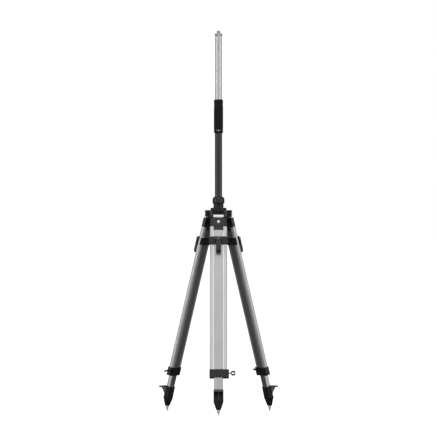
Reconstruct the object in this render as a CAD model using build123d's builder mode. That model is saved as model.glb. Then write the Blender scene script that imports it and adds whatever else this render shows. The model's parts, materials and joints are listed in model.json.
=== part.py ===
from build123d import *
import os
from math import cos, radians, sin

# Surveying tripod with a telescopic pole clamped in its head, in millimetres, +Z up.
# The origin is on the ground under the pole's axis. One leg points along -Y and the other
# two stand 120 degrees either side of it. Every leg is the same set of pieces.

# ---- driving dimensions -------------------------------------------------------------

fit_gap = 0.05            # pieces of one body that sit inside each other
running_gap = 0.05        # a pin in its bore, per side
move_gap = 0.4            # pieces of different bodies that slide past each other

leg_azimuths = {"front": 270, "right": 30, "left": 150}
leg_tilt = 15             # from vertical, as the tripod stands
pivot_radius = 44         # hinge axis from the pole's axis
pivot_height = 866

head_radius = 60
head_bottom = 863
head_top = 893
head_bore_radius = 17
head_groove_height = 878
head_groove = 2
pocket_width = 46.6
pocket_ceiling = 887
pocket_inner = 34.5       # radial distance of a pocket's back wall
hinge_pin_radius = 4
hinge_pin_length = 70

flange_radius = 35
flange_top = 903.5
neck_radius = 22.15
nut_bottom = 921.5
nut_top = 952
spigot_radius = 20.5
spigot_top = 944
bush_radius = 18.2
bush_bottom = 897
bush_top = 948
nut_radius = 26.75
nut_flutes = 12
flange_screw_circle = 28.5
flange_screw_count = 4
flange_screw_radius = 2.5
flange_screw_length = 18
flange_screw_hole = 13    # depth of its hole in the head
flange_screw_socket = 1.7
flange_screw_socket_depth = 2
bush_slot_width = 1.6
bush_slot_depth = 30
nut_flute_radius = 3

pole_radius = 16
pole_wall = 1.15
pole_bottom = 640
pole_top = 1376
plug_radius = 17.6
plug_height = 12
plug_bore = 6
plug_spigot = 18

grip_bottom = 1232
grip_top = 1380
collar_radius = 20
bottom_collar_height = 18
top_collar_height = 20
grip_radius = 20.35
grip_rib_top = 1347
grip_rib_count = 24
mark_height = 1243.7
mark_thickness = 0.35
mark_width = 20
mark_line = 1.4
mark_diamond = 3.4

mast_radius = 14.25
mast_wall = 2
mast_bottom = 1180
mast_top = 1659
mast_hole_radius = 2.75
mast_hole_height = 1604
guide_bush_height = 40
mast_foot_radius = 14.55
mast_foot_height = 12
mast_foot_bore = 8
mast_foot_spigot = 20

adapter_top = 1669.5
adapter_flats = 28
adapter_plug_length = 24
stud_radius = 7.94
stud_top = 1682
stud_root_radius = 6.5
stud_root_length = 16
stud_relief = 1           # the shoulder is bored wide to this depth
stud_chamfer = 1.2

# Stations along a leg are distances down from the hinge axis.
leg_width = 76
leg_depth = 20
leg_round = 7.3
rail_inner = 21.5         # half of the space between the two rails
rail_wall = 2
rail_groove = 1.1         # radius of the groove along each rail's inner corner
rail_top = 48
rail_bottom = 719
cap_width = 76.6
cap_depth = 22.4
cap_round = 8
cap_ridge = 4.6           # the cap's roof below the hinge axis
cap_eave = 9.6            # the same at the outer face
spigot_bottom = 73        # end of the cap's two spigots inside the rails
tongue_bottom = 63
panel_width = 56
panel_top = 10.2
panel_bottom = 46.8
panel_rise = 1.2
knuckle_width = 45
knuckle_depth = 12
knuckle_up = 6.6
knuckle_down = 5.4
knuckle_web_width = 36
knuckle_web_depth = 8
knuckle_web_bottom = 38
cap_bolt_station = 27.7
cap_bolt_head_radius = 6.6
cap_bolt_head = 2.5
cap_bolt_radius = 4
cap_bolt_socket = 2.6
cap_bolt_socket_depth = 1.6

band_top = 95
band_bottom = 129
band_width = 84
band_plate = 6            # thickness of the plate across the outer side
band_wall = 3
band_wrap = 3.5           # the inner half's side walls start this far inwards
band_post_x = 30
band_post_radius = 3
band_corner_width = 9     # the plate's cut upper corners
band_corner_height = 6
lever_pivot = 108
lever_bottom = 171
lever_width = 21
lever_depth = 13
lever_taper = 12          # length over which the lever thins to its tip
lever_tip_round = 0.9
ear_nose = 4              # half height of the ear's outer edge
ear_heel = 14             # the ear's lowest point below the lever's pivot
lever_axis_out = 29       # lever's pivot from the leg's middle plane, outwards
lever_pin_radius = 2.5
ear_thickness = 3.5
ear_top = 96               # highest point of the ears
pin_head_radius = 3.6
pin_head = 1.4

clamp_top = 690
clamp_bottom = 727
clamp_near = 39.5         # the clamp's plain side
clamp_far = 45.5          # its screw side
clamp_inward = 12.8
clamp_outward = 11
clamp_panel_near = 36.5    # the raised panel on the outer half
clamp_panel_far = 34.5
clamp_panel_rise = 0.8
clamp_split = 6           # where its two halves meet
clamp_outer_round = 8
clamp_inner_round = 5
screw_station = 705.5
screw_radius = 2.6
eye_x = 64                # middle of the screw's eye when the screw is tight
eye_width = 19
eye_height = 21.5
eye_depth = 5
eye_round = 6.5
eye_slot_width = 11.6
eye_slot_height = 7.4
eye_edge_round = 1.2
eye_shaft_overlap = 2     # the shaft runs this far into the eye
screw_turn = {"front": 0, "right": 55, "left": 55}   # degrees, as each screw happens to stand
screw_out = {"front": 0, "right": 3, "left": 3}      # how far each is backed out

inner_width = 39
inner_depth = 19.2
inner_wall = 2
inner_round = 2.5
inner_top = 64.5
inner_bottom = 812

shoe_top = 779
shoe_break = 832
shoe_width = 43.4
shoe_mouth = 6            # the inner leg's socket is cut this far above the shoe's top
shoe_round = 6
shoe_top_out = 10.7       # the shoe's outer and inner sides from the leg's middle plane
shoe_top_in = 14
shoe_break_out = 13
shoe_break_in = 15.5
foot_radius = 262         # spikes from the pole's axis
cone_bottom = 27          # height above the ground
cone_bottom_width = 21
spike_radius = 7.4
spike_shank_radius = 5
spike_shank_top = 50
pedal_top = 116
pedal_reach = 294
pedal_width = 43.5
pedal_thickness = 3.2
pedal_lip = 8
pedal_root = 16           # the pedal starts this far inside the spike's axis
pedal_corner = 6
gusset_foot = 36          # the gusset's lowest point above the cone's end
gusset_thickness = 5
rivet_stations = (787.5, 808)
rivet_radius = 1.6
rivet_head_radius = 2.6
rivet_head = 1
rivet_seat = 0.2          # the head stands this far off the sloping shoe

os.makedirs("parts", exist_ok=True)


def save(piece, name):
    piece.part.label = name
    export_step(piece.part, f"parts/{name}.step")


def outward_of(azimuth):
    return Vector(cos(radians(azimuth)), sin(radians(azimuth)), 0)


def ring(bottom, top, outer, inner):
    """A plain tube about the pole's axis, added to the part being built."""
    with BuildSketch(Plane.XY.offset(bottom)) as section:
        Circle(outer)
        Circle(inner, mode=Mode.SUBTRACT)
    extrude(section.sketch, amount=top - bottom)


# ---- head -----------------------------------------------------------------------------

def pocket_planes():
    """One plane for each leg, at the hinge: x across the leg, z outwards, y up."""
    planes = []
    for azimuth in leg_azimuths.values():
        outward = outward_of(azimuth)
        origin = outward * pivot_radius + Vector(0, 0, pivot_height)
        planes.append(Plane(origin=origin, x_dir=Vector(0, 0, 1).cross(outward), z_dir=outward))
    return planes


def make_head():
    with BuildPart() as head_plate:
        ring(head_bottom, head_top, head_radius, head_bore_radius)
        rims = head_plate.edges().filter_by(GeomType.CIRCLE).filter_by(lambda e: e.radius > head_radius - 1)
        chamfer(rims, 1.5)
        with BuildSketch(Plane.XY.offset(head_groove_height - head_groove / 2)):
            Circle(head_radius + 1)
            Circle(head_radius - head_groove, mode=Mode.SUBTRACT)
        extrude(amount=head_groove, mode=Mode.SUBTRACT)
        pocket_depth = head_radius - pocket_inner + 2
        for hinge in pocket_planes():
            with BuildSketch(hinge.offset(pocket_inner - pivot_radius)):
                middle = (pocket_ceiling + head_bottom) / 2 - pivot_height
                with Locations((0, middle)):
                    Rectangle(pocket_width, pocket_ceiling - head_bottom)
            extrude(amount=pocket_depth, mode=Mode.SUBTRACT)
            across = Plane(origin=hinge.origin, x_dir=hinge.y_dir, z_dir=hinge.x_dir)
            with BuildSketch(across):
                Circle(hinge_pin_radius + 0.02)
            extrude(amount=head_radius, both=True, mode=Mode.SUBTRACT)
        with BuildSketch(Plane.XY.offset(head_top)):
            with PolarLocations(flange_screw_circle, flange_screw_count, start_angle=45):
                Circle(flange_screw_radius + fit_gap)
        extrude(amount=-flange_screw_hole, mode=Mode.SUBTRACT)
    save(head_plate, "head_plate")

    with BuildPart() as hinge_pins:
        for hinge in pocket_planes():
            across = Plane(origin=hinge.origin, x_dir=hinge.y_dir, z_dir=hinge.x_dir)
            with BuildSketch(across):
                Circle(hinge_pin_radius)
            extrude(amount=hinge_pin_length / 2, both=True)
        chamfer(hinge_pins.edges().filter_by(GeomType.CIRCLE), 0.6)
    save(hinge_pins, "hinge_pins")


def make_collet():
    bore = bush_radius + fit_gap
    with BuildPart() as collet_base:
        with BuildSketch(Plane.XZ):
            with BuildLine():
                Polyline(
                    (bore, head_top),
                    (flange_radius, head_top),
                    (flange_radius, flange_top - 2),
                    (flange_radius - 2, flange_top),
                    (neck_radius, flange_top),
                    (neck_radius, nut_bottom - move_gap),
                    (spigot_radius, nut_bottom - move_gap),
                    (spigot_radius, spigot_top),
                    (bore, spigot_top),
                    close=True,
                )
            make_face()
        revolve(axis=Axis.Z)
        seat = Plane.XY.offset(flange_top)
        with Locations(seat):
            with PolarLocations(flange_screw_circle, flange_screw_count, start_angle=45):
                CounterSinkHole(flange_screw_radius + fit_gap, 2 * flange_screw_radius + fit_gap,
                                depth=flange_top - head_top + 1)
    save(collet_base, "collet_base")

    with BuildPart() as flange_screws:
        with BuildSketch(seat):
            with PolarLocations(flange_screw_circle, flange_screw_count, start_angle=45):
                Circle(flange_screw_radius)
        extrude(amount=-flange_screw_length)
        with PolarLocations(flange_screw_circle, flange_screw_count, start_angle=45):
            with Locations((0, 0, flange_top - flange_screw_radius / 2)):
                Cone(flange_screw_radius, 2 * flange_screw_radius, flange_screw_radius)
        with BuildSketch(seat):
            with PolarLocations(flange_screw_circle, flange_screw_count, start_angle=45):
                RegularPolygon(flange_screw_socket, 6)
        extrude(amount=-flange_screw_socket_depth, mode=Mode.SUBTRACT)
    save(flange_screws, "flange_screws")

    with BuildPart() as pole_bush:
        ring(bush_bottom, bush_top, bush_radius, pole_radius + 0.1)
        with BuildSketch(Plane.XY.offset(bush_top)):
            with PolarLocations(bush_radius, 3, start_angle=90):
                Rectangle(12, bush_slot_width)
        extrude(amount=-bush_slot_depth, mode=Mode.SUBTRACT)
    save(pole_bush, "pole_bush")

    with BuildPart() as collet_nut:
        with BuildSketch(Plane.XZ):
            with BuildLine():
                outline = Polyline(
                    (pole_radius + move_gap + 0.4, nut_top),
                    (pole_radius + move_gap + 0.4, bush_top + move_gap),
                    (spigot_radius + move_gap, bush_top + move_gap),
                    (spigot_radius + move_gap, nut_bottom),
                    (nut_radius - 3.5, nut_bottom),
                    (nut_radius + 0.2, nut_bottom + 4.5),
                    (nut_radius + 0.2, nut_bottom + 7),
                    (nut_radius - 0.4, nut_bottom + 8),
                    (nut_radius - 0.4, nut_top - 11),
                )
                shoulder = (nut_radius - 9.5, nut_top)
                ThreePointArc(outline @ 1, (nut_radius - 3.3, nut_top - 3.6), shoulder)
                Line(shoulder, outline @ 0)
            make_face()
        revolve(axis=Axis.Z)
        with BuildSketch(Plane.XY.offset(nut_bottom + 9)):
            with PolarLocations(nut_radius + 1.6, nut_flutes, start_angle=360 / nut_flutes / 2):
                Circle(nut_flute_radius)
        extrude(amount=nut_top - nut_bottom, mode=Mode.SUBTRACT)
    save(collet_nut, "collet_nut")


# ---- pole, grip and mast ------------------------------------------------------------------

def make_pole():
    bore = pole_radius - pole_wall
    with BuildPart() as lower_pole:
        ring(pole_bottom, pole_top, pole_radius, bore)
    save(lower_pole, "lower_pole")

    with BuildPart() as pole_end_plug:
        ring(pole_bottom - plug_height, pole_bottom, plug_radius, plug_bore)
        chamfer(pole_end_plug.edges().group_by(Axis.Z)[0].sort_by(SortBy.RADIUS)[-1], 3)
        ring(pole_bottom, pole_bottom + plug_spigot, bore - fit_gap, plug_bore)
    save(pole_end_plug, "pole_end_plug")

    with BuildPart() as mast_guide_bush:
        ring(pole_top - guide_bush_height, pole_top, bore - 0.02, mast_radius + running_gap)
    save(mast_guide_bush, "mast_guide_bush")

    collar_top = grip_bottom + bottom_collar_height
    with BuildPart() as grip_bottom_collar:
        ring(grip_bottom, collar_top, collar_radius, pole_radius + 0.02)
        chamfer(grip_bottom_collar.edges().group_by(Axis.Z)[0].sort_by(SortBy.RADIUS)[-1], 2.5)
    save(grip_bottom_collar, "grip_bottom_collar")

    with BuildPart() as grip_top_collar:
        ring(grip_top - top_collar_height, pole_top, collar_radius, pole_radius + 0.02)
        ring(pole_top, grip_top, collar_radius, mast_radius + 0.1)
        chamfer(grip_top_collar.edges().group_by(Axis.Z)[-1].sort_by(SortBy.RADIUS)[-1], 4)
    save(grip_top_collar, "grip_top_collar")

    with BuildPart() as index_mark:
        with BuildSketch(Plane.XZ.offset(collar_radius - 8)):
            with Locations((0, mark_height)):
                Rectangle(mark_width, mark_line)
                RegularPolygon(mark_diamond, 4, rotation=0)
        extrude(amount=10)
        with BuildSketch(Plane.XY.offset(grip_bottom)):
            Circle(collar_radius + mark_thickness)
            Circle(collar_radius, mode=Mode.SUBTRACT)
        extrude(amount=bottom_collar_height, mode=Mode.INTERSECT)
    save(index_mark, "index_mark")

    sleeve_bottom = collar_top + move_gap
    sleeve_top = grip_top - top_collar_height - move_gap
    with BuildPart() as grip_sleeve:
        ring(sleeve_bottom, grip_rib_top, grip_radius, pole_radius + 0.3)
        ring(grip_rib_top, sleeve_top, grip_radius - 0.8, pole_radius + 0.3)
        with BuildSketch(Plane.XY.offset(sleeve_bottom + 3)):
            with PolarLocations(grip_radius + 0.5, grip_rib_count):
                Circle(1.3)
        extrude(amount=grip_rib_top - sleeve_bottom - 7, mode=Mode.SUBTRACT)
    save(grip_sleeve, "grip_sleeve")


def make_mast():
    bore = mast_radius - mast_wall
    with BuildPart() as mast_tube:
        ring(mast_bottom, mast_top, mast_radius, bore)
        with BuildSketch(Plane.XZ.offset(bore - 3)):
            with Locations((0, mast_hole_height)):
                Circle(mast_hole_radius)
        extrude(amount=8, mode=Mode.SUBTRACT)
    save(mast_tube, "mast_tube")

    with BuildPart() as mast_foot_bush:
        ring(mast_bottom - mast_foot_height, mast_bottom, mast_foot_radius, mast_foot_bore)
        ring(mast_bottom, mast_bottom + mast_foot_spigot, bore - fit_gap, mast_foot_bore)
    save(mast_foot_bush, "mast_foot_bush")

    with BuildPart() as top_adapter:
        with BuildSketch(Plane.XY.offset(mast_top)):
            RegularPolygon(adapter_flats / 2, 6, major_radius=False)
        extrude(amount=adapter_top - mast_top)
        corner = adapter_flats / 2 / cos(radians(30))
        with BuildSketch(Plane.XZ):
            with BuildLine():
                Polyline(
                    (0, mast_top),
                    (corner - 2.2, mast_top),
                    (corner, mast_top + 3),
                    (corner, adapter_top - 1),
                    (corner - 1, adapter_top),
                    (0, adapter_top),
                    close=True,
                )
            make_face()
        revolve(axis=Axis.Z, mode=Mode.INTERSECT)
        with BuildSketch(Plane.XY.offset(mast_top)):
            Circle(bore - fit_gap)
        extrude(amount=-adapter_plug_length)
        with BuildSketch(Plane.XY.offset(adapter_top)):
            Circle(stud_radius + fit_gap)
        extrude(amount=-stud_relief, mode=Mode.SUBTRACT)
        with BuildSketch(Plane.XY.offset(adapter_top)):
            Circle(stud_root_radius + fit_gap)
        extrude(amount=-stud_root_length, mode=Mode.SUBTRACT)
    save(top_adapter, "top_adapter")

    with BuildPart() as mounting_stud:
        with BuildSketch(Plane.XY.offset(adapter_top)):
            Circle(stud_radius)
        extrude(amount=stud_top - adapter_top)
        chamfer(mounting_stud.edges().group_by(Axis.Z)[-1], stud_chamfer)
        with BuildSketch(Plane.XY.offset(adapter_top)):
            Circle(stud_root_radius)
        extrude(amount=-stud_root_length)
    save(mounting_stud, "mounting_stud")


# ---- legs ---------------------------------------------------------------------------------

def leg_frame(azimuth):
    """A plane at the hinge: x across the leg, y towards the pole, z up along the leg."""
    outward = outward_of(azimuth)
    tilt = radians(leg_tilt)
    up_leg = Vector(0, 0, cos(tilt)) - outward * sin(tilt)
    origin = outward * pivot_radius + Vector(0, 0, pivot_height)
    return Plane(origin=origin, x_dir=Vector(0, 0, 1).cross(outward), z_dir=up_leg)


def outer_face(frame, out, station):
    """A plane flat against the leg's outer side: x across, y up the leg, normal outwards."""
    origin = frame.from_local_coords((0, -out, -station))
    return Plane(origin=origin, x_dir=frame.x_dir, z_dir=-frame.y_dir)


def side_face(frame, across, station):
    """A plane along the leg's side: x towards the pole, y up the leg, normal across."""
    origin = frame.from_local_coords((across, 0, -station))
    return Plane(origin=origin, x_dir=frame.y_dir, z_dir=frame.x_dir)


def leg_outline(grow, mode=Mode.ADD):
    """The leg's rounded outline, grown by grow on every side, in the sketch being drawn."""
    RectangleRounded(leg_width + 2 * grow, leg_depth + 2 * grow, leg_round + grow, mode=mode)


def rails_outline(grow):
    """The two rails' outline, grown by grow: the leg's outline with its middle taken out."""
    leg_outline(grow)
    Rectangle(2 * (rail_inner - grow), 2 * leg_depth, mode=Mode.SUBTRACT)


def make_rails(leg, frame):
    length = rail_bottom - rail_top
    post_middle = (band_top + band_bottom) / 2
    with BuildPart() as rails:
        with BuildSketch(frame.offset(-rail_top)):
            rails_outline(0)
            groove_x = leg_width / 2 - leg_round * (1 - cos(radians(45)))
            groove_y = leg_depth / 2 - leg_round * (1 - sin(radians(45)))
            with Locations((groove_x, groove_y), (-groove_x, groove_y)):
                Circle(rail_groove, mode=Mode.SUBTRACT)
        extrude(amount=-length)
        with BuildSketch(frame.offset(-rail_top)):
            rails_outline(-rail_wall)
        extrude(amount=-length, mode=Mode.SUBTRACT)
        with BuildSketch(outer_face(frame, 0, post_middle)):
            with Locations((band_post_x, 0), (-band_post_x, 0)):
                Circle(band_post_radius + fit_gap)
        extrude(amount=leg_depth, both=True, mode=Mode.SUBTRACT)
    save(rails, f"{leg}_rails")


def make_cap(leg, frame):
    half_depth = cap_depth / 2
    panel_face = half_depth + panel_rise
    with BuildPart() as cap:
        with BuildSketch(frame.offset(-cap_ridge)):
            RectangleRounded(cap_width, cap_depth, cap_round)
        extrude(amount=cap_ridge - rail_top)
        with BuildSketch(outer_face(frame, half_depth - 1, (panel_top + panel_bottom) / 2)):
            RectangleRounded(panel_width, panel_bottom - panel_top, 2.5)
        extrude(amount=panel_rise + 1)
        with BuildSketch(frame.offset(-rail_top)):
            Rectangle(2 * (rail_inner - fit_gap), leg_depth - 1)
        extrude(amount=rail_top - tongue_bottom)
        with BuildSketch(frame.offset(-rail_top)):
            rails_outline(-rail_wall - fit_gap)
        extrude(amount=rail_top - spigot_bottom)
        with BuildSketch(side_face(frame, 0, 0)):
            with BuildLine():
                Polyline(
                    (0, -cap_ridge),
                    (-half_depth, -cap_eave),
                    (-panel_face - 1, -cap_eave - 0.6),
                    (-panel_face - 1, 1),
                    (0, 1),
                    close=True,
                )
            make_face()
        extrude(amount=cap_width, both=True, mode=Mode.SUBTRACT)
        with BuildSketch(frame):
            Rectangle(knuckle_web_width + 2 * fit_gap, knuckle_web_depth + 2 * fit_gap)
        extrude(amount=-knuckle_web_bottom - fit_gap, mode=Mode.SUBTRACT)
        with BuildSketch(side_face(frame, 0, 0)):
            Rectangle(knuckle_depth + 2 * fit_gap, 2 * (knuckle_down + fit_gap))
        extrude(amount=knuckle_width / 2 + 0.2, both=True, mode=Mode.SUBTRACT)
        with BuildSketch(outer_face(frame, panel_face, cap_bolt_station)):
            Circle(cap_bolt_radius + fit_gap)
        extrude(amount=-half_depth - 5, mode=Mode.SUBTRACT)
    save(cap, f"{leg}_cap")

    with BuildPart() as knuckle:
        with BuildSketch(side_face(frame, 0, (knuckle_down - knuckle_up) / 2)):
            RectangleRounded(knuckle_depth, knuckle_up + knuckle_down, 1.5)
        extrude(amount=knuckle_width / 2, both=True)
        with BuildSketch(frame):
            Rectangle(knuckle_web_width, knuckle_web_depth)
        extrude(amount=-knuckle_web_bottom)
        with BuildSketch(side_face(frame, 0, 0)):
            Circle(hinge_pin_radius + running_gap)
        extrude(amount=knuckle_width, both=True, mode=Mode.SUBTRACT)
        with BuildSketch(outer_face(frame, knuckle_web_depth, cap_bolt_station)):
            Circle(cap_bolt_radius + fit_gap)
        extrude(amount=-2 * knuckle_web_depth, mode=Mode.SUBTRACT)
    save(knuckle, f"{leg}_knuckle")

    with BuildPart() as cap_bolt:
        with BuildSketch(outer_face(frame, panel_face, cap_bolt_station)):
            Circle(cap_bolt_head_radius)
        extrude(amount=cap_bolt_head)
        chamfer(cap_bolt.edges().group_by(Axis((0, 0, 0), -frame.y_dir))[-1], 0.6)
        with BuildSketch(outer_face(frame, panel_face + cap_bolt_head, cap_bolt_station)):
            RegularPolygon(cap_bolt_socket, 6)
        extrude(amount=-cap_bolt_socket_depth, mode=Mode.SUBTRACT)
        with BuildSketch(outer_face(frame, panel_face, cap_bolt_station)):
            Circle(cap_bolt_radius)
        extrude(amount=-half_depth - 4)
    save(cap_bolt, f"{leg}_cap_bolt")


def make_band(leg, frame):
    plate_back = leg_depth / 2 + fit_gap
    plate_front = plate_back + band_plate
    height = band_bottom - band_top
    middle = (band_top + band_bottom) / 2
    ear_out = lever_axis_out + lever_depth / 2 - 1
    half_width = band_width / 2
    with BuildPart() as band:
        with BuildSketch(outer_face(frame, plate_back, middle)):
            with BuildLine():
                Polyline(
                    (half_width, -height / 2),
                    (half_width, height / 2 - band_corner_height),
                    (half_width - band_corner_width, height / 2),
                    (band_corner_width - half_width, height / 2),
                    (-half_width, height / 2 - band_corner_height),
                    (-half_width, -height / 2),
                    close=True,
                )
            make_face()
        extrude(amount=band_plate)
        front_edges = band.faces().sort_by(Axis((0, 0, 0), -frame.y_dir))[-1].edges()
        chamfer(front_edges, 1)
        with BuildSketch(frame.offset(-band_top - 1)):
            leg_outline(band_wall)
            leg_outline(fit_gap, mode=Mode.SUBTRACT)
            with Locations((0, band_wrap - leg_depth)):
                Rectangle(2 * leg_width, 2 * leg_depth, mode=Mode.SUBTRACT)
        extrude(amount=2 - height)
        post_length = plate_back + leg_depth / 2 + 1
        with BuildSketch(outer_face(frame, plate_back, middle)):
            with Locations((band_post_x, 0), (-band_post_x, 0)):
                Circle(band_post_radius)
        extrude(amount=-post_length)
        ear_middle = lever_width / 2 + move_gap + ear_thickness / 2
        for side in (-1, 1):
            with BuildSketch(side_face(frame, side * ear_middle, lever_pivot)):
                with BuildLine():
                    Polyline(
                        (1 - plate_front, lever_pivot - ear_top),
                        (8 - ear_out, lever_pivot - ear_top - 1),
                        (-ear_out, ear_nose),
                        (-ear_out, -ear_nose),
                        (1 - plate_front, -ear_heel),
                        close=True,
                    )
                make_face()
                with Locations((-lever_axis_out, 0)):
                    Circle(lever_pin_radius + 0.02, mode=Mode.SUBTRACT)
            extrude(amount=ear_thickness / 2, both=True)
    save(band, f"{leg}_band")

    with BuildPart() as lever:
        half_depth = lever_depth / 2
        with BuildSketch(side_face(frame, 0, lever_pivot)):
            reach = lever_bottom - lever_pivot
            with BuildLine():
                outer = -lever_axis_out - half_depth
                inner = -lever_axis_out + half_depth
                Polyline(
                    (outer, 0),
                    (outer, lever_taper - reach),
                    (outer + 3, -reach),
                    (inner - 2, -reach),
                    (inner, lever_taper - reach),
                    (inner, 0),
                )
                ThreePointArc((inner, 0), (-lever_axis_out, half_depth), (outer, 0))
            make_face()
        extrude(amount=lever_width / 2, both=True)
        tip_edges = lever.edges().group_by(Axis((0, 0, 0), frame.z_dir))[0]
        fillet(tip_edges, lever_tip_round)
        with BuildSketch(side_face(frame, 0, lever_pivot)):
            with Locations((-lever_axis_out, 0)):
                Circle(lever_pin_radius + running_gap)
        extrude(amount=lever_width, both=True, mode=Mode.SUBTRACT)
    save(lever, f"{leg}_lever")

    with BuildPart() as lever_pin:
        with BuildSketch(side_face(frame, 0, lever_pivot)):
            with Locations((-lever_axis_out, 0)):
                Circle(lever_pin_radius)
        ears_face = lever_width / 2 + move_gap + ear_thickness
        extrude(amount=ears_face + pin_head, both=True)
        with BuildSketch(side_face(frame, 0, lever_pivot)):
            with Locations((-lever_axis_out, 0)):
                Circle(pin_head_radius)
        heads = extrude(amount=ears_face + pin_head, both=True)
        chamfer(heads.edges().filter_by(GeomType.CIRCLE), 0.5)
        with BuildSketch(side_face(frame, 0, lever_pivot)):
            with Locations((-lever_axis_out, 0)):
                Circle(pin_head_radius + 1)
                Circle(lever_pin_radius, mode=Mode.SUBTRACT)
        extrude(amount=ears_face + fit_gap, both=True, mode=Mode.SUBTRACT)
    save(lever_pin, f"{leg}_lever_pin")


def inner_section(grow):
    """The inner leg's outline, grown by grow on every side, in the sketch being drawn."""
    RectangleRounded(inner_width + 2 * grow, inner_depth + 2 * grow, inner_round + min(grow, 0) / 2)


def make_clamp_half(frame, name, near_side, far_side, corner, panel_out):
    """One half of the lower clamp, lying between two distances from the leg's middle plane."""
    width = clamp_far + clamp_near
    middle_x = (clamp_far - clamp_near) / 2
    reach = clamp_inward + clamp_outward
    with BuildPart() as half:
        with BuildSketch(frame.offset(-clamp_top)):
            with Locations((middle_x, (clamp_inward - clamp_outward) / 2)):
                RectangleRounded(width, reach, corner)
            with Locations((middle_x, (near_side + far_side) / 2)):
                Rectangle(width, far_side - near_side, mode=Mode.INTERSECT)
        extrude(amount=clamp_top - clamp_bottom)
        if panel_out:
            height = clamp_bottom - clamp_top
            middle = (clamp_top + clamp_bottom) / 2
            with BuildSketch(outer_face(frame, clamp_outward, middle)):
                with Locations(((clamp_panel_far - clamp_panel_near) / 2, 0)):
                    Rectangle(clamp_panel_far + clamp_panel_near, height)
            extrude(amount=panel_out)
            outermost = half.faces().sort_by(Axis((0, 0, 0), -frame.y_dir))[-1]
            chamfer(outermost.edges(), panel_out - 0.1)
        with BuildSketch(frame.offset(-clamp_top)):
            leg_outline(fit_gap)
        extrude(amount=clamp_top - rail_bottom - fit_gap, mode=Mode.SUBTRACT)
        with BuildSketch(frame.offset(-rail_bottom)):
            inner_section(move_gap)
        extrude(amount=rail_bottom - clamp_bottom, mode=Mode.SUBTRACT)
        with BuildSketch(side_face(frame, leg_width / 2 - 2, screw_station)):
            Circle(screw_radius + running_gap)
        extrude(amount=clamp_far, mode=Mode.SUBTRACT)
    save(half, name)


def make_clamp(leg, frame):
    make_clamp_half(frame, f"{leg}_clamp", clamp_split, clamp_inward, clamp_inner_round, 0)
    make_clamp_half(
        frame, f"{leg}_clamp_plate", -clamp_outward, clamp_split - fit_gap, clamp_outer_round,
        clamp_panel_rise,
    )

    with BuildPart() as clamp_screw:
        turn = radians(screw_turn[leg])
        eye_middle = eye_x + screw_out[leg]
        eye_up = frame.z_dir * cos(turn) + frame.y_dir * sin(turn)
        eye = Plane(
            origin=frame.from_local_coords((eye_middle, 0, -screw_station)),
            x_dir=frame.x_dir,
            z_dir=frame.x_dir.cross(eye_up),
        )
        with BuildSketch(eye):
            RectangleRounded(eye_width, eye_height, eye_round)
        extrude(amount=eye_depth / 2, both=True)
        flats = clamp_screw.faces().sort_by(Axis((0, 0, 0), eye.z_dir))
        fillet(flats[0].edges() + flats[-1].edges(), eye_edge_round)
        shaft_start = leg_width / 2 + move_gap + screw_out[leg]
        with BuildSketch(side_face(frame, shaft_start, screw_station)):
            Circle(screw_radius)
        extrude(amount=eye_middle - eye_width / 2 + eye_shaft_overlap - shaft_start)
        with BuildSketch(eye):
            SlotOverall(eye_slot_width, eye_slot_height)
        extrude(amount=eye_depth, both=True, mode=Mode.SUBTRACT)
    save(clamp_screw, f"{leg}_clamp_screw")


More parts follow.
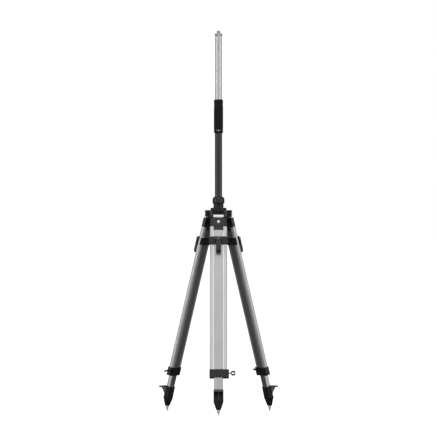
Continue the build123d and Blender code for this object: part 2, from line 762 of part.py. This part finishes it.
def make_foot(leg, frame, azimuth):
    with BuildPart() as inner_leg:
        with BuildSketch(frame.offset(-inner_top)):
            inner_section(0)
        extrude(amount=inner_top - inner_bottom)
        with BuildSketch(frame.offset(-inner_top)):
            inner_section(-inner_wall)
        extrude(amount=inner_top - inner_bottom, mode=Mode.SUBTRACT)
    save(inner_leg, f"{leg}_inner_leg")

    outward = outward_of(azimuth)
    across = Vector(0, 0, 1).cross(outward)
    foot_axis = outward * foot_radius
    upright = Plane(origin=(0, 0, 0), x_dir=outward, z_dir=outward.cross(Vector(0, 0, 1)))
    tip_plane = Plane(origin=foot_axis + Vector(0, 0, cone_bottom), x_dir=across, z_dir=(0, 0, 1))
    with BuildPart() as shoe:
        with BuildSketch(frame.offset(-shoe_top)):
            with Locations((0, (shoe_top_in - shoe_top_out) / 2)):
                RectangleRounded(shoe_width, shoe_top_out + shoe_top_in, shoe_round)
        with BuildSketch(frame.offset(-shoe_break)):
            with Locations((0, (shoe_break_in - shoe_break_out) / 2)):
                RectangleRounded(shoe_width, shoe_break_out + shoe_break_in, shoe_round)
        loft()
        with BuildSketch(frame.offset(-shoe_break)):
            with Locations((0, (shoe_break_in - shoe_break_out) / 2)):
                RectangleRounded(shoe_width, shoe_break_out + shoe_break_in, shoe_round)
        with BuildSketch(tip_plane):
            RectangleRounded(cone_bottom_width, cone_bottom_width, cone_bottom_width / 2 - 0.2)
        loft()
        pedal_start = foot_radius - pedal_root
        with BuildSketch(upright):
            with BuildLine():
                Polyline(
                    (pedal_start, pedal_top),
                    (pedal_reach, pedal_top),
                    (pedal_reach, pedal_top - pedal_lip),
                    (pedal_reach - 2.5, pedal_top - pedal_lip),
                    (pedal_reach - 2.5, pedal_top - pedal_thickness),
                    (pedal_start, pedal_top - pedal_thickness),
                    close=True,
                )
            make_face()
        extrude(amount=pedal_width / 2, both=True)
        corners = shoe.edges().filter_by(Axis.Z).filter_by(
            lambda e: (e.center() - foot_axis).dot(outward) > pedal_reach - foot_radius - 1
        )
        fillet(corners, pedal_corner)
        with BuildSketch(upright):
            with BuildLine():
                Polyline(
                    (pedal_start + 8, pedal_top - 2),
                    (pedal_reach - 5, pedal_top - 2),
                    (pedal_reach - 5, pedal_top - 10),
                    (foot_radius + 6, cone_bottom + gusset_foot),
                    (foot_radius, cone_bottom + gusset_foot),
                    close=True,
                )
            make_face()
        extrude(amount=gusset_thickness / 2, both=True)
        with BuildSketch(frame.offset(-shoe_top + shoe_mouth)):
            inner_section(fit_gap)
        extrude(amount=shoe_top - shoe_mouth - inner_bottom - fit_gap, mode=Mode.SUBTRACT)
        with BuildSketch(tip_plane):
            Circle(spike_shank_radius + 0.02)
        extrude(amount=spike_shank_top - cone_bottom, mode=Mode.SUBTRACT)
        for station in rivet_stations:
            with BuildSketch(outer_face(frame, 0, station)):
                Circle(rivet_radius + 0.02)
            extrude(amount=-2 * shoe_break_in, mode=Mode.SUBTRACT)
    save(shoe, f"{leg}_shoe")

    with BuildPart() as spike:
        with BuildSketch(upright):
            with BuildLine():
                Polyline(
                    (foot_radius, 0),
                    (foot_radius + 0.8, 0),
                    (foot_radius + 3.7, 10),
                    (foot_radius + 6.6, 19),
                    (foot_radius + spike_radius, 22),
                    (foot_radius + spike_radius, cone_bottom),
                    (foot_radius + spike_shank_radius, cone_bottom),
                    (foot_radius + spike_shank_radius, spike_shank_top - 0.5),
                    (foot_radius, spike_shank_top - 0.5),
                    close=True,
                )
            make_face()
        revolve(axis=Axis(foot_axis, (0, 0, 1)))
    save(spike, f"{leg}_spike")

    with BuildPart() as shoe_rivets:
        inner_face = inner_depth / 2
        for station in rivet_stations:
            along = (station - shoe_top) / (shoe_break - shoe_top)
            shoe_face = shoe_top_in + (shoe_break_in - shoe_top_in) * along
            with BuildSketch(outer_face(frame, -inner_face - fit_gap, station)):
                Circle(rivet_radius)
            extrude(amount=inner_face - shoe_face - rivet_head)
            with BuildSketch(outer_face(frame, -shoe_face - rivet_seat, station)):
                Circle(rivet_head_radius)
            extrude(amount=-rivet_head)
    save(shoe_rivets, f"{leg}_shoe_rivets")


make_head()
make_collet()
make_pole()
make_mast()
for leg, azimuth in leg_azimuths.items():
    frame = leg_frame(azimuth)
    make_rails(leg, frame)
    make_cap(leg, frame)
    make_band(leg, frame)
    make_clamp(leg, frame)
    make_foot(leg, frame, azimuth)
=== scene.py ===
import json
from math import cos, pi, radians, sin, tau

import bpy
from mathutils import Matrix, Vector


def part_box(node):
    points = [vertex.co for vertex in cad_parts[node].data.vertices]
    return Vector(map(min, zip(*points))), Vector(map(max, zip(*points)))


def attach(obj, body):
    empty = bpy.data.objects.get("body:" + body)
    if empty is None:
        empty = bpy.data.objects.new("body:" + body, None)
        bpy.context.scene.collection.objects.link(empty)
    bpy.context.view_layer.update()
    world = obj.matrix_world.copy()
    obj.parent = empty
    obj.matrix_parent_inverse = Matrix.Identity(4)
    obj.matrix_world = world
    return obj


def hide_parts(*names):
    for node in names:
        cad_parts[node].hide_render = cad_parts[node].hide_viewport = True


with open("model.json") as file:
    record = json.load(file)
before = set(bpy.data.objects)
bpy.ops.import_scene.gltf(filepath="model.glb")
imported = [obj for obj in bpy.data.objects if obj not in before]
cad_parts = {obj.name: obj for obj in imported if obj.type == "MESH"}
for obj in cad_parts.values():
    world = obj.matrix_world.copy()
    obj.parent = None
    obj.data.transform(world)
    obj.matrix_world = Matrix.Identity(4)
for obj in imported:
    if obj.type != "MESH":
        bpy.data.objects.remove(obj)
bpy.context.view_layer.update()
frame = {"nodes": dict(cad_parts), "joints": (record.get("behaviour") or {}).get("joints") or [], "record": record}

# Surveying tripod with a telescopic pole: looks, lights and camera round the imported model.
# Every length is in metres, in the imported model's frame.

nodes = frame["nodes"]
joints = {joint["name"]: joint for joint in frame["joints"]}
legs = ("front", "right", "left")
up = Vector((0, 0, 1))

# ---- camera ---------------------------------------------------------------------------

camera_distance = 17
camera_height = 0.8562
view_width = 1.923         # what the frame takes in at the pole's axis
sensor_width = 36

camera_data = bpy.data.cameras.new("camera")
camera_data.sensor_width = sensor_width
camera_data.lens = sensor_width * camera_distance / view_width
camera_data.clip_end = 400
camera = bpy.data.objects.new("camera", camera_data)
camera.location = (0, -camera_distance, camera_height)
camera.rotation_euler = (pi / 2, 0, 0)
bpy.context.scene.collection.objects.link(camera)
bpy.context.scene.camera = camera

# ---- node helpers ---------------------------------------------------------------------


class Surface:
    """One material, with short calls for the nodes that it is made of."""

    def __init__(self, name):
        self.material = bpy.data.materials.new(name)
        self.material.use_nodes = True
        self.tree = self.material.node_tree
        self.shader = self.tree.nodes["Principled BSDF"]

    def put(self, socket, value):
        if isinstance(value, bpy.types.NodeSocket):
            self.tree.links.new(value, socket)
        else:
            socket.default_value = value

    def node(self, kind, inputs=None, **settings):
        made = self.tree.nodes.new("ShaderNode" + kind)
        for key, value in settings.items():
            setattr(made, key, value)
        for key, value in (inputs or {}).items():
            self.put(made.inputs[key], value)
        return made

    def maths(self, operation, *values, clamp=False):
        inputs = dict(enumerate(values))
        return self.node("Math", inputs, operation=operation, use_clamp=clamp).outputs[0]

    def vector(self, operation, first, second=None):
        inputs = {0: first}
        if second is not None:
            inputs[1] = second
        made = self.node("VectorMath", inputs, operation=operation)
        return made.outputs["Value" if operation == "DOT_PRODUCT" else 0]

    def span(self, value, low, high, to_low=0.0, to_high=1.0):
        inputs = {
            "Value": value,
            "From Min": low,
            "From Max": high,
            "To Min": to_low,
            "To Max": to_high,
        }
        return self.node("MapRange", inputs, interpolation_type="SMOOTHSTEP").outputs[0]

    def blend(self, share, first, second):
        made = self.node("Mix", data_type="RGBA")
        self.put(made.inputs[0], share)
        self.put(made.inputs[6], first)
        self.put(made.inputs[7], second)
        return made.outputs[2]

    def place(self, space=None):
        """Object coordinates, turned into a leg's own axes where space is that leg's frame."""
        point = self.node("TexCoord").outputs["Object"]
        if space is None:
            return point
        inputs = {
            "Vector": point,
            "Location": space.to_translation(),
            "Rotation": space.to_euler("XYZ"),
        }
        return self.node("Mapping", inputs, vector_type="TEXTURE").outputs[0]

    def stretched(self, point, scales):
        return self.vector("MULTIPLY", point, scales)

    def noise(self, point, scale, detail=3.0, roughness=0.55):
        inputs = {
            "Vector": point,
            "Scale": scale,
            "Detail": detail,
            "Roughness": roughness,
        }
        return self.node("TexNoise", inputs).outputs[0]

    def edges(self, radius, low=0.02, high=0.35):
        """1 along a sharp edge, 0 on flat faces."""
        soft = self.node("Bevel", {"Radius": radius}, samples=4).outputs[0]
        hard = self.node("NewGeometry").outputs["Normal"]
        turned = self.maths("SUBTRACT", 1.0, self.vector("DOT_PRODUCT", soft, hard))
        return self.span(turned, low, high)

    def finish(self, colour, roughness, height=None, depth=0.0001, metallic=0.0, radius=0.0004,
               **constants):
        """Joins everything to the shader. Depth is the bump's height in metres."""
        self.put(self.shader.inputs["Base Color"], colour)
        self.put(self.shader.inputs["Roughness"], roughness)
        self.put(self.shader.inputs["Metallic"], metallic)
        for name, value in constants.items():
            self.shader.inputs[name].default_value = value
        normal = self.node("Bevel", {"Radius": radius}, samples=4).outputs[0]
        if height is not None:
            inputs = {"Strength": 1.0, "Distance": depth, "Height": height, "Normal": normal}
            normal = self.node("Bump", inputs).outputs[0]
        self.put(self.shader.inputs["Normal"], normal)
        return self.material


def grey(value, tint=1.0):
    """A linear grey, a little cooler where tint is above 1."""
    return (value, value, value * tint, 1.0)


# ---- materials ------------------------------------------------------------------------


def aluminium(name, space, value, roughness, lines=1500.0, tarnish=0.12, metallic=1.0):
    """Extruded or drawn aluminium: die lines along the profile, faint smudges and rubs, and a painted highlight
    along sharp edges.
    """
    made = Surface(name)
    point = made.place(space)
    die = made.noise(made.stretched(point, (1.0, 1.0, 0.006)), lines, 2.0)
    broad = made.noise(made.stretched(point, (1.0, 1.0, 0.02)), 260.0, 2.0)
    smudge = made.noise(made.stretched(point, (1.0, 1.0, 0.35)), 26.0, 4.0, 0.6)
    rub = made.span(made.noise(made.stretched(point, (1.0, 1.0, 0.12)), 210.0, 3.0), 0.66, 0.74)
    dull = made.maths("MULTIPLY", made.span(smudge, 0.35, 0.75), tarnish)
    shade = made.blend(dull, grey(value, 1.015), grey(value * 0.55))
    shade = made.blend(made.maths("MULTIPLY", rub, 0.25), shade, grey(min(1.0, value * 1.2)))
    # Painted highlight: sharp edges are lightened towards a pale grey, as if catching the light.
    shade = made.blend(made.maths("MULTIPLY", made.edges(0.0006), 0.1), shade, grey(0.92))
    rough = made.maths("ADD", roughness - 0.08, made.maths("MULTIPLY", die, 0.12))
    rough = made.maths("ADD", rough, made.maths("MULTIPLY", smudge, 0.08))
    height = made.maths("ADD", made.maths("MULTIPLY", die, 0.4), broad)
    return made.finish(shade, rough, height, 0.00004, metallic, 0.0005)


def cast_paint(name, space, value, roughness, worn=0.5, grain=900.0, shine=0.25):
    """Painted casting: orange-peel in the paint, bare rubbed edges, a little dust."""
    made = Surface(name)
    point = made.place(space)
    peel = made.noise(point, grain, 2.0)
    cloud = made.noise(point, 38.0, 4.0, 0.6)
    chips = made.maths("MULTIPLY", made.edges(0.0008, 0.05, 0.4), made.span(cloud, 0.42, 0.62))
    shade = made.blend(made.span(cloud, 0.3, 0.8), grey(value), grey(value * 1.5 + 0.004))
    shade = made.blend(made.maths("MULTIPLY", chips, worn), shade, grey(0.24))
    rough = made.maths("ADD", roughness - 0.07, made.maths("MULTIPLY", cloud, 0.14))
    return made.finish(
        shade, rough, peel, 0.00012, 0.0, 0.0006, **{"Specular IOR Level": shine}
    )


def moulded(name, space, value, roughness, grain=1500.0, scuff_and_sheen=0.3, shine=0.25):
    """Moulded plastic: fine spark-eroded grain, smoother where hands rub it, with edges painted lighter, partly as
    scuffing and partly as a painted sheen.
    """
    made = Surface(name)
    point = made.place(space)
    fine = made.noise(point, grain, 2.0)
    cloud = made.noise(point, 45.0, 3.0)
    rub_and_sheen = made.edges(0.001, 0.03, 0.35)
    shade = made.blend(made.span(cloud, 0.3, 0.75), grey(value), grey(value * 1.4 + 0.003))
    # Edges painted lighter: partly scuffing, partly a painted sheen.
    shade = made.blend(made.maths("MULTIPLY", rub_and_sheen, scuff_and_sheen), shade, grey(value * 2.6 + 0.02))
    rough = made.maths("ADD", roughness - 0.06, made.maths("MULTIPLY", cloud, 0.16))
    rough = made.maths("SUBTRACT", rough, made.maths("MULTIPLY", rub_and_sheen, 0.1))
    return made.finish(
        shade, rough, fine, 0.00007, 0.0, 0.0006, **{"Specular IOR Level": shine}
    )


def lever_plastic(name, space):
    """The lever's grey plastic with its tip dipped in black, and a painted highlight on its edges."""
    made = Surface(name)
    point = made.place(space)
    tip_top, tip_full = -0.1622, -0.1634      # the dip's edge, up the leg from its pivot
    down = made.node("SeparateXYZ", {0: point}).outputs[2]
    cloud = made.noise(point, 45.0, 3.0)
    tip = made.span(down, tip_top, tip_full)
    rub_and_sheen = made.edges(0.001, 0.03, 0.35)
    shade = made.blend(made.span(cloud, 0.3, 0.75), grey(0.03), grey(0.042))
    # Painted highlight: edges lighter, standing in for light catching the lever's top bevel, partly scuffing too.
    shade = made.blend(made.maths("MULTIPLY", rub_and_sheen, 0.5), shade, grey(0.16))
    shade = made.blend(tip, shade, grey(0.004))
    rough = made.maths("ADD", 0.36, made.maths("MULTIPLY", cloud, 0.16))
    rough = made.maths("ADD", rough, made.maths("MULTIPLY", tip, 0.2))
    return made.finish(
        shade, rough, made.noise(point, 1500.0, 2.0), 0.00007, 0.0, 0.0006,
        **{"Specular IOR Level": 0.3}
    )


def steel(name, space, value, roughness, ring_scale=2600.0, metallic=1.0):
    """Turned or plated steel: fine tool marks and small dark specks."""
    made = Surface(name)
    point = made.place(space)
    marks = made.noise(made.stretched(point, (0.08, 0.08, 1.0)), ring_scale, 2.0)
    specks = made.span(made.noise(point, 700.0, 3.0), 0.62, 0.72)
    shade = made.blend(made.maths("MULTIPLY", specks, 0.4), grey(value, 0.99), grey(value * 0.4))
    rough = made.maths("ADD", roughness - 0.05, made.maths("MULTIPLY", marks, 0.14))
    return made.finish(shade, rough, marks, 0.00005, metallic, 0.0003)


def woven_tube(name):
    """Woven fibre tube: a two-over-two weave of flat tows under a clear coat, with painted sheen on alternate tows
    and painted shade in the hollows between them.
    """
    tows_round, tow_height = 24, 0.0039
    made = Surface(name)
    x, y, z = made.node("SeparateXYZ", {0: made.place()}).outputs
    turn = made.maths("ARCTAN2", y, x)
    column = made.maths("MULTIPLY", turn, tows_round / tau)
    row = made.maths("DIVIDE", z, tow_height)
    cell = made.maths("ADD", made.maths("FLOOR", column), made.maths("FLOOR", row))
    over = made.maths("LESS_THAN", made.maths("FLOORED_MODULO", cell, 4.0), 1.5)
    across = made.maths("SINE", made.maths("MULTIPLY", made.maths("FRACT", column), pi))
    along = made.maths("SINE", made.maths("MULTIPLY", made.maths("FRACT", row), pi))
    strands = made.noise(made.stretched(made.place(), (1.0, 1.0, 0.05)), 5200.0, 1.0)
    crown = made.node("Mix", {0: over, 2: along, 3: across}).outputs[0]
    # Painted sheen: tows that pass over are much lighter than those under them.
    tow_sheen = made.blend(over, grey(0.004), grey(0.075))
    # Painted shade: darker in the hollows between the tows' crowns.
    hollow_shade = made.maths("MULTIPLY", made.maths("SUBTRACT", 1.0, crown), 0.5)
    shade = made.blend(hollow_shade, tow_sheen, grey(0.006))
    rough = made.node("Mix", {0: over, 2: 0.5, 3: 0.36}).outputs[0]
    height = made.maths("ADD", crown, made.maths("MULTIPLY", strands, 0.3))
    return made.finish(
        shade, rough, height, 0.00012, 0.0, 0.0003,
        **{"Coat Weight": 0.8, "Coat Roughness": 0.14, "Specular IOR Level": 0.1},
    )


def shoe_paint(name, space, value, roughness):
    """Painted foot casting: scuffed tread with painted light on upward faces, a worn pedal with painted sheen on
    its side faces, dust and chips towards the ground.
    """
    made = Surface(name)
    point = made.place(space)
    world = made.place()
    normal = made.node("NewGeometry").outputs["Normal"]
    facing_up = made.span(made.vector("DOT_PRODUCT", normal, tuple(up)), 0.35, 0.8)
    height = made.node("SeparateXYZ", {0: world}).outputs[2]
    cloud = made.noise(point, 70.0, 5.0, 0.65)
    # Painted light from above: upward faces lighter, mixed with real scuffs by the noise.
    tread_and_top_light = made.maths("MULTIPLY", facing_up, made.span(cloud, 0.32, 0.55))
    low = made.span(height, 0.075, 0.02)
    dust = made.maths("MULTIPLY", low, made.span(cloud, 0.4, 0.7))
    chips = made.maths("MULTIPLY", made.edges(0.0009, 0.05, 0.4), made.span(cloud, 0.4, 0.6))
    shade = made.blend(made.span(cloud, 0.3, 0.8), grey(value), grey(value * 1.6 + 0.003))
    shade = made.blend(made.maths("MULTIPLY", tread_and_top_light, 0.8), shade, grey(0.26))
    pedal_from, pedal_full = -0.0145, -0.0165  # outwards from the leg's middle plane
    outside = made.node("SeparateXYZ", {0: point}).outputs[1]
    pedal = made.span(outside, pedal_from, pedal_full)
    rub_and_sheen = made.maths("MULTIPLY", pedal, made.span(cloud, 0.25, 0.6, 0.6, 1.0))
    across = tuple(space.col[0].xyz)
    sideways = made.maths("ABSOLUTE", made.vector("DOT_PRODUCT", normal, across))
    # Painted sheen: the worn pedal's side faces lighter than its other faces.
    bare_and_side_sheen = made.blend(made.span(sideways, 0.5, 0.9), grey(0.13), grey(0.26))
    shade = made.blend(rub_and_sheen, shade, bare_and_side_sheen)
    shade = made.blend(made.maths("MULTIPLY", dust, 0.35), shade, grey(0.12))
    shade = made.blend(made.maths("MULTIPLY", chips, 0.6), shade, grey(0.3))
    rough = made.maths("ADD", roughness - 0.05, made.maths("MULTIPLY", cloud, 0.2))
    return made.finish(
        shade, rough, made.noise(point, 800.0, 2.0), 0.00015, 0.0, 0.0007,
        **{"Specular IOR Level": 0.25}
    )


def printed_mark(name):
    """Printed ink, thin at its edges."""
    made = Surface(name)
    ink = made.noise(made.place(), 1800.0, 3.0)
    shade = made.blend(made.span(ink, 0.35, 0.6), grey(0.42), grey(0.62))
    return made.finish(shade, made.span(ink, 0.3, 0.7, 0.5, 0.65), ink, 0.00002, 0.0, 0.0001)


# ---- a leg's own axes -----------------------------------------------------------------


def leg_space(leg):
    """x across the leg, y towards the pole, z up the leg, from its pivot."""
    swing = joints[leg + "_leg_swing"]
    z = -Vector(joints[leg + "_leg_extend"]["axis"]).normalized()
    pivot = Vector(swing["pos_m"])
    outward = Vector((pivot.x, pivot.y, 0)).normalized()
    x = up.cross(outward)
    made = Matrix.Identity(3)
    made.col[0], made.col[1], made.col[2] = x, z.cross(x), z
    return Matrix.Translation(pivot) @ made.to_4x4()


def paint(node_name, material):
    mesh = nodes[node_name].data
    if mesh.materials:
        mesh.materials[0] = material
    else:
        mesh.materials.append(material)


makers = {
    "black_casting": lambda name, space: cast_paint(name, space, 0.004, 0.24, shine=0.37),
    "grey_casting": lambda name, space: cast_paint(name, space, 0.013, 0.36, shine=0.3),
    "shoe_casting": lambda name, space: shoe_paint(name, space, 0.006, 0.42),
    "nut_plastic": lambda name, space: moulded(name, space, 0.01, 0.26, shine=0.5),
    "lever_plastic": lever_plastic,
    "grip_plastic": lambda name, space: moulded(name, space, 0.011, 0.45, shine=0.1),
    "nylon": lambda name, space: moulded(name, space, 0.02, 0.4),
    "composite_tube": lambda name, space: woven_tube(name),
    "white_mark": lambda name, space: printed_mark(name),
    "rail_aluminium": lambda name, space: aluminium(name, space, 0.66, 0.5, metallic=0.8),
    "inner_aluminium": lambda name, space: aluminium(name, space, 0.43, 0.38),
    "mast_aluminium": lambda name, space: aluminium(name, space, 0.68, 0.3),
    "machined_aluminium": lambda name, space: steel(name, space, 0.62, 0.3),
    "steel": lambda name, space: steel(name, space, 0.56, 0.3),
    "spike_steel": lambda name, space: steel(name, space, 0.88, 0.4, metallic=0.25),
}
made_materials = {}


def material_for(slot, leg):
    """The slot's material, in the leg's own axes where the node is on a leg."""
    key = slot if leg is None else slot + "_" + leg
    if key not in made_materials:
        made_materials[key] = makers[slot](key, None if leg is None else leg_space(leg))
    return made_materials[key]


def leg_of(node_name):
    first = node_name.split("_")[0]
    return first if first in legs else None


slots = {part["node"]: part["material_slot"] for part in frame["record"]["subparts"]}
for node_name, slot in slots.items():
    paint(node_name, material_for(slot, leg_of(node_name)))

# ---- mounting stud with a real thread -------------------------------------------------

thread_pitch = 25.4e-3 / 11
thread_depth = 0.0013
thread_chamfer = 0.0014
points_round = 96
points_per_pitch = 12


def thread_radius(turn, height, low, high, crest):
    """Radius of the thread at a share of a turn and a height: flat crest, sloped flanks."""
    phase = (height / thread_pitch - turn) % 1
    wave = min(1.0, max(0.0, 2.2 * (1 - abs(2 * phase - 1)) - 0.45))
    radius = crest - thread_depth * (1 - wave)
    from_end = min(height - low, high - height)
    return min(radius, crest - thread_chamfer + from_end) if from_end < thread_chamfer else radius


def threaded_stud(name, low, high, crest):
    rows = int((high - low) / thread_pitch * points_per_pitch) + 1
    points, faces = [], []
    for row in range(rows + 1):
        height = low + (high - low) * row / rows
        for step in range(points_round):
            turn = step / points_round
            radius = thread_radius(turn, height, low, high, crest)
            points.append((radius * cos(tau * turn), radius * sin(tau * turn), height))
    for row in range(rows):
        for step in range(points_round):
            after = (step + 1) % points_round
            a, b = row * points_round + step, row * points_round + after
            faces.append((a, b, b + points_round, a + points_round))
    faces.append(tuple(reversed(range(points_round))))
    faces.append(tuple(rows * points_round + step for step in range(points_round)))
    return mesh_object(name, points, faces, smooth=True)


def mesh_object(name, points, faces, smooth=False):
    mesh = bpy.data.meshes.new(name)
    mesh.from_pydata([tuple(p) for p in points], [], faces)
    mesh.validate()
    made = bpy.data.objects.new(name, mesh)
    bpy.context.scene.collection.objects.link(made)
    for face in mesh.polygons:
        face.use_smooth = smooth and len(face.vertices) == 4
    return made


stud_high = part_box("mounting_stud")[1]
stud_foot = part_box("top_adapter")[1].z
stud = threaded_stud("threaded_stud", stud_foot, stud_high.z, stud_high.x)
stud.data.materials.append(material_for("steel", None))
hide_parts("mounting_stud")
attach(stud, "mast")

# ---- rivet heads on the levers --------------------------------------------------------

rivet_radius = 0.0023
rivet_rise = 0.0009
rivet_rings = 6
rivet_points = points_round // 4


def rivet_head(name, centre, outward, across):
    """A low dome with a straight skirt sunk into the face under it."""
    along = outward.cross(across)
    points, faces = [], []
    for ring in range(rivet_rings + 1):
        lean = pi / 2 * ring / rivet_rings
        height = rivet_rise * sin(lean) if ring else -rivet_rise / 2
        radius = rivet_radius * cos(pi / 2 * max(0, ring - 1) / rivet_rings)
        for step in range(rivet_points):
            turn = tau * step / rivet_points
            rim = across * (radius * cos(turn)) + along * (radius * sin(turn))
            points.append(centre + rim + outward * height)
    for ring in range(rivet_rings):
        for step in range(rivet_points):
            after = (step + 1) % rivet_points
            a, b = ring * rivet_points + step, ring * rivet_points + after
            faces.append((a, b, b + rivet_points, a + rivet_points))
    faces.append(tuple(rivet_rings * rivet_points + step for step in range(rivet_points)))
    faces.append(tuple(reversed(range(rivet_points))))
    return mesh_object(name, points, faces, smooth=True)


for leg in legs:
    space = leg_space(leg)
    lever = nodes[leg + "_lever"]
    local = [space.inverted() @ lever.matrix_world @ v.co for v in lever.data.vertices]
    pivot = space.inverted() @ Vector(joints[leg + "_lever_flip"]["pos_m"])
    seat = space @ Vector((0, min(point.y for point in local), pivot.z))
    across, outward = space.col[0].xyz, -space.col[1].xyz
    rivet = rivet_head(leg + "_lever_rivet", seat, outward, across)
    rivet.data.materials.append(material_for("steel", leg))
    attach(rivet, leg + "_lever")

# ---- floor, lights and background -----------------------------------------------------

floor_size = 150
floor = mesh_object(
    "floor",
    [(-floor_size, -floor_size, 0), (floor_size, -floor_size, 0),
     (floor_size, floor_size, 0), (-floor_size, floor_size, 0)],
    [(0, 1, 2, 3)],
)
floor_surface = Surface("floor")
paper = floor_surface.noise(floor_surface.place(), 3.0, 2.0)
floor.data.materials.append(
    floor_surface.finish(
        floor_surface.blend(paper, grey(0.84), grey(0.87)), 0.85, None, radius=0.0001,
        **{
            "Specular IOR Level": 0.1,
            "Emission Color": grey(1.0),
            "Emission Strength": 0.7,
        },
    )
)
floor.visible_glossy = False
floor.visible_diffuse = False

aim = Vector((0, 0, 0.85))


def soft_light(name, azimuth, distance, height, width, tall, power):
    """A soft box, its azimuth counted from the camera's side, turned to the object."""
    data = bpy.data.lights.new(name, "AREA")
    data.shape = "RECTANGLE"
    data.size, data.size_y = width, tall
    data.energy = power
    made = bpy.data.objects.new(name, data)
    turn = radians(azimuth)
    made.location = (distance * sin(turn), -distance * cos(turn), height)
    made.rotation_mode = "QUATERNION"
    made.rotation_quaternion = (aim - made.location).to_track_quat("-Z", "Y")
    made.visible_camera = False
    bpy.context.scene.collection.objects.link(made)
    return made


# name, azimuth in degrees, distance, height, width, tall, watts
soft_boxes = (
    ("strip_left", -64, 3.0, 1.1, 0.55, 2.6, 15),
    ("strip_right", 64, 3.0, 1.1, 0.55, 2.6, 14),
    ("back_left", -155, 3.2, 1.3, 0.7, 2.2, 3),
    ("back_right", 155, 3.2, 1.3, 0.7, 2.2, 3),
    ("front", 0, 5.0, 3.6, 2.2, 2.0, 16),
)
for soft_box in soft_boxes:
    soft_light(*soft_box)

sky_strength = 0.7
sky_softness = 60          # degrees across, so that its shadows are faint
sky_lean = 25

sun = bpy.data.lights.new("sky", "SUN")
sun.energy = sky_strength
sun.angle = radians(sky_softness)
sky = bpy.data.objects.new("sky", sun)
sky.rotation_euler = (radians(sky_lean), 0, 0)
bpy.context.scene.collection.objects.link(sky)

# The camera sees plain white. Everything else is lit by a bright upper half over a dark one.
world = bpy.data.worlds.new("studio")
world.use_nodes = True
bpy.context.scene.world = world
tree = world.node_tree
paths = tree.nodes.new("ShaderNodeLightPath")
backdrop = tree.nodes["Background"]
backdrop.inputs["Color"].default_value = grey(1.0)
direction = tree.nodes.new("ShaderNodeTexCoord")
rise = tree.nodes.new("ShaderNodeSeparateXYZ")
tree.links.new(direction.outputs["Generated"], rise.inputs[0])


def ramp(along, low, high, to_low, to_high):
    """A smooth step of the world's strength along one of the direction's axes."""
    made = tree.nodes.new("ShaderNodeMapRange")
    made.interpolation_type = "SMOOTHSTEP"
    made.inputs["From Min"].default_value = low
    made.inputs["From Max"].default_value = high
    made.inputs["To Min"].default_value = to_low
    made.inputs["To Max"].default_value = to_high
    tree.links.new(along, made.inputs["Value"])
    return made.outputs[0]


fill = tree.nodes.new("ShaderNodeBackground")
fill.inputs["Color"].default_value = grey(1.0)
chosen = tree.nodes.new("ShaderNodeMixShader")
both = tree.nodes.new("ShaderNodeMath")
both.operation = "MULTIPLY"
tree.links.new(ramp(rise.outputs[2], -0.5, 0.05, 0.04, 0.6), both.inputs[0])
tree.links.new(ramp(rise.outputs[1], -0.45, 0.1, 1.0, 0.36), both.inputs[1])
tree.links.new(both.outputs[0], fill.inputs["Strength"])
tree.links.new(paths.outputs["Is Camera Ray"], chosen.inputs[0])
tree.links.new(fill.outputs[0], chosen.inputs[1])
tree.links.new(backdrop.outputs[0], chosen.inputs[2])
tree.links.new(chosen.outputs[0], tree.nodes["World Output"].inputs[0])

bpy.context.scene.view_settings.view_transform = "Standard"
